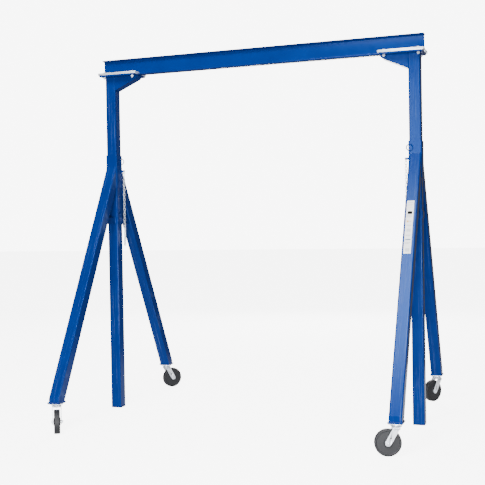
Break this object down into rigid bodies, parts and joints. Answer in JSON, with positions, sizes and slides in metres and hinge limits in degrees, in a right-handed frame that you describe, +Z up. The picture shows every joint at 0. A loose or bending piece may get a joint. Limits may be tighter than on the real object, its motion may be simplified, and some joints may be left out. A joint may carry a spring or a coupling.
{
  "type": "portable gantry crane",
  "caption": "Wheeled A-frame gantry: a rolled I-beam on square telescoping columns in splayed two-leg frames on swivel casters.",
  "frame": {"origin": "on the floor, midway between the two columns", "axes": "+X along the beam to the right end, +Y to the rear, +Z up"},
  "size_m": [3.064, 2.5081, 3.3251],
  "materials": {
    "blue_powder_coat": "royal blue powder coat, satin gloss",
    "zinc_plate": "bright zinc plating",
    "bearing_steel": "polished bearing steel",
    "phenolic": "black moulded phenolic, slightly dusty",
    "white_vinyl": null
  },
  "bodies": {
    "left_frame": {"sleeve_left": "blue_powder_coat", "leg_left_front": "blue_powder_coat", "leg_left_rear": "blue_powder_coat", "guide_collar_left": "blue_powder_coat", "tie_bars_left": "blue_powder_coat", "foot_plates_left": "blue_powder_coat", "lifting_ring_left": "blue_powder_coat", "caster_bolts_left": "zinc_plate", "caster_nuts_left": "zinc_plate", "caster_plate_left_front": "zinc_plate", "caster_plate_left_rear": "zinc_plate"},
    "right_frame": {"sleeve_right": "blue_powder_coat", "leg_right_front": "blue_powder_coat", "leg_right_rear": "blue_powder_coat", "guide_collar_right": "blue_powder_coat", "tie_bars_right": "blue_powder_coat", "foot_plates_right": "blue_powder_coat", "lifting_ring_right": "blue_powder_coat", "caster_bolts_right": "zinc_plate", "caster_nuts_right": "zinc_plate", "caster_plate_right_front": "zinc_plate", "caster_plate_right_rear": "zinc_plate", "decal": "white_vinyl"},
    "top": {"beam": "blue_powder_coat", "column_left": "blue_powder_coat", "column_right": "blue_powder_coat", "seat_plate_left": "blue_powder_coat", "seat_plate_right": "blue_powder_coat", "gusset_left": "blue_powder_coat", "gusset_right": "blue_powder_coat", "clamp_bar_left_front": "zinc_plate", "clamp_bar_left_rear": "zinc_plate", "clamp_bar_right_front": "zinc_plate", "clamp_bar_right_rear": "zinc_plate", "clamp_bolts": "zinc_plate", "clamp_nuts": "zinc_plate"},
    "swivel_left_front": {"fork_left_front": "zinc_plate", "swivel_balls_left_front": "bearing_steel", "axle_left_front": "zinc_plate", "bushing_left_front": "bearing_steel"},
    "swivel_left_rear": {"fork_left_rear": "zinc_plate", "swivel_balls_left_rear": "bearing_steel", "axle_left_rear": "zinc_plate", "bushing_left_rear": "bearing_steel"},
    "swivel_right_front": {"fork_right_front": "zinc_plate", "swivel_balls_right_front": "bearing_steel", "axle_right_front": "zinc_plate", "bushing_right_front": "bearing_steel"},
    "swivel_right_rear": {"fork_right_rear": "zinc_plate", "swivel_balls_right_rear": "bearing_steel", "axle_right_rear": "zinc_plate", "bushing_right_rear": "bearing_steel"},
    "rolling_left_front": {"wheel_left_front": "phenolic"},
    "rolling_left_rear": {"wheel_left_rear": "phenolic"},
    "rolling_right_front": {"wheel_right_front": "phenolic"},
    "rolling_right_rear": {"wheel_right_rear": "phenolic"},
    "hanging_chain_left": {"chain_left": "zinc_plate"},
    "hanging_pin_left": {"hitch_pin_left": "zinc_plate"},
    "hanging_chain_right": {"chain_right": "zinc_plate"},
    "hanging_pin_right": {"hitch_pin_right": "zinc_plate"}
  },
  "joints": [
    {"name": "height", "type": "slide", "parent": "left_frame", "child": "top", "axis": [0, 0, 1], "range_m": [0, 1.2192]},
    {"name": "height_right", "type": "slide", "parent": "top", "child": "right_frame", "axis": [0, 0, -1], "range_m": [0, 1.2192]},
    {"name": "swivel_left_front", "type": "hinge", "parent": "left_frame", "child": "swivel_left_front", "pos_m": [-1.441, -1.11, 0.228], "axis": [0, 0, 1], "continuous": true},
    {"name": "swivel_left_rear", "type": "hinge", "parent": "left_frame", "child": "swivel_left_rear", "pos_m": [-1.441, 1.11, 0.228], "axis": [0, 0, 1], "continuous": true},
    {"name": "swivel_right_front", "type": "hinge", "parent": "right_frame", "child": "swivel_right_front", "pos_m": [1.441, -1.11, 0.228], "axis": [0, 0, 1], "continuous": true},
    {"name": "swivel_right_rear", "type": "hinge", "parent": "right_frame", "child": "swivel_right_rear", "pos_m": [1.441, 1.11, 0.228], "axis": [0, 0, 1], "continuous": true},
    {"name": "roll_left_front", "type": "hinge", "parent": "swivel_left_front", "child": "rolling_left_front", "pos_m": [-1.40735, -1.16385, 0.1016], "axis": [0.848, 0.5299, 0], "continuous": true},
    {"name": "roll_left_rear", "type": "hinge", "parent": "swivel_left_rear", "child": "rolling_left_rear", "pos_m": [-1.40018, 1.15864, 0.1016], "axis": [-0.766, 0.6428, 0], "continuous": true},
    {"name": "roll_right_front", "type": "hinge", "parent": "swivel_right_front", "child": "rolling_right_front", "pos_m": [1.37996, -1.1275, 0.1016], "axis": [0.2756, -0.9613, 0], "continuous": true},
    {"name": "roll_right_rear", "type": "hinge", "parent": "swivel_right_rear", "child": "rolling_right_rear", "pos_m": [1.40458, 1.05798, 0.1016], "axis": [0.8192, -0.5736, 0], "continuous": true},
    {"name": "chain_swing_left", "type": "hinge", "parent": "left_frame", "child": "hanging_chain_left", "pos_m": [-1.36185, 0.045, 2.262], "axis": [1, 0, 0], "range_deg": [-60, 60]},
    {"name": "pin_swing_left", "type": "hinge", "parent": "hanging_chain_left", "child": "hanging_pin_left", "pos_m": [-1.36185, 0.045, 1.7443], "axis": [1, 0, 0], "range_deg": [-60, 60]},
    {"name": "chain_swing_right", "type": "hinge", "parent": "right_frame", "child": "hanging_chain_right", "pos_m": [1.36185, -0.045, 2.262], "axis": [1, 0, 0], "range_deg": [-60, 60]},
    {"name": "pin_swing_right", "type": "hinge", "parent": "hanging_chain_right", "child": "hanging_pin_right", "pos_m": [1.36185, -0.045, 1.7443], "axis": [1, 0, 0], "range_deg": [-60, 60]}
  ],
  "couplings": [
    {"joint": "height_right", "follows": "height", "ratio": 1}
  ]
}
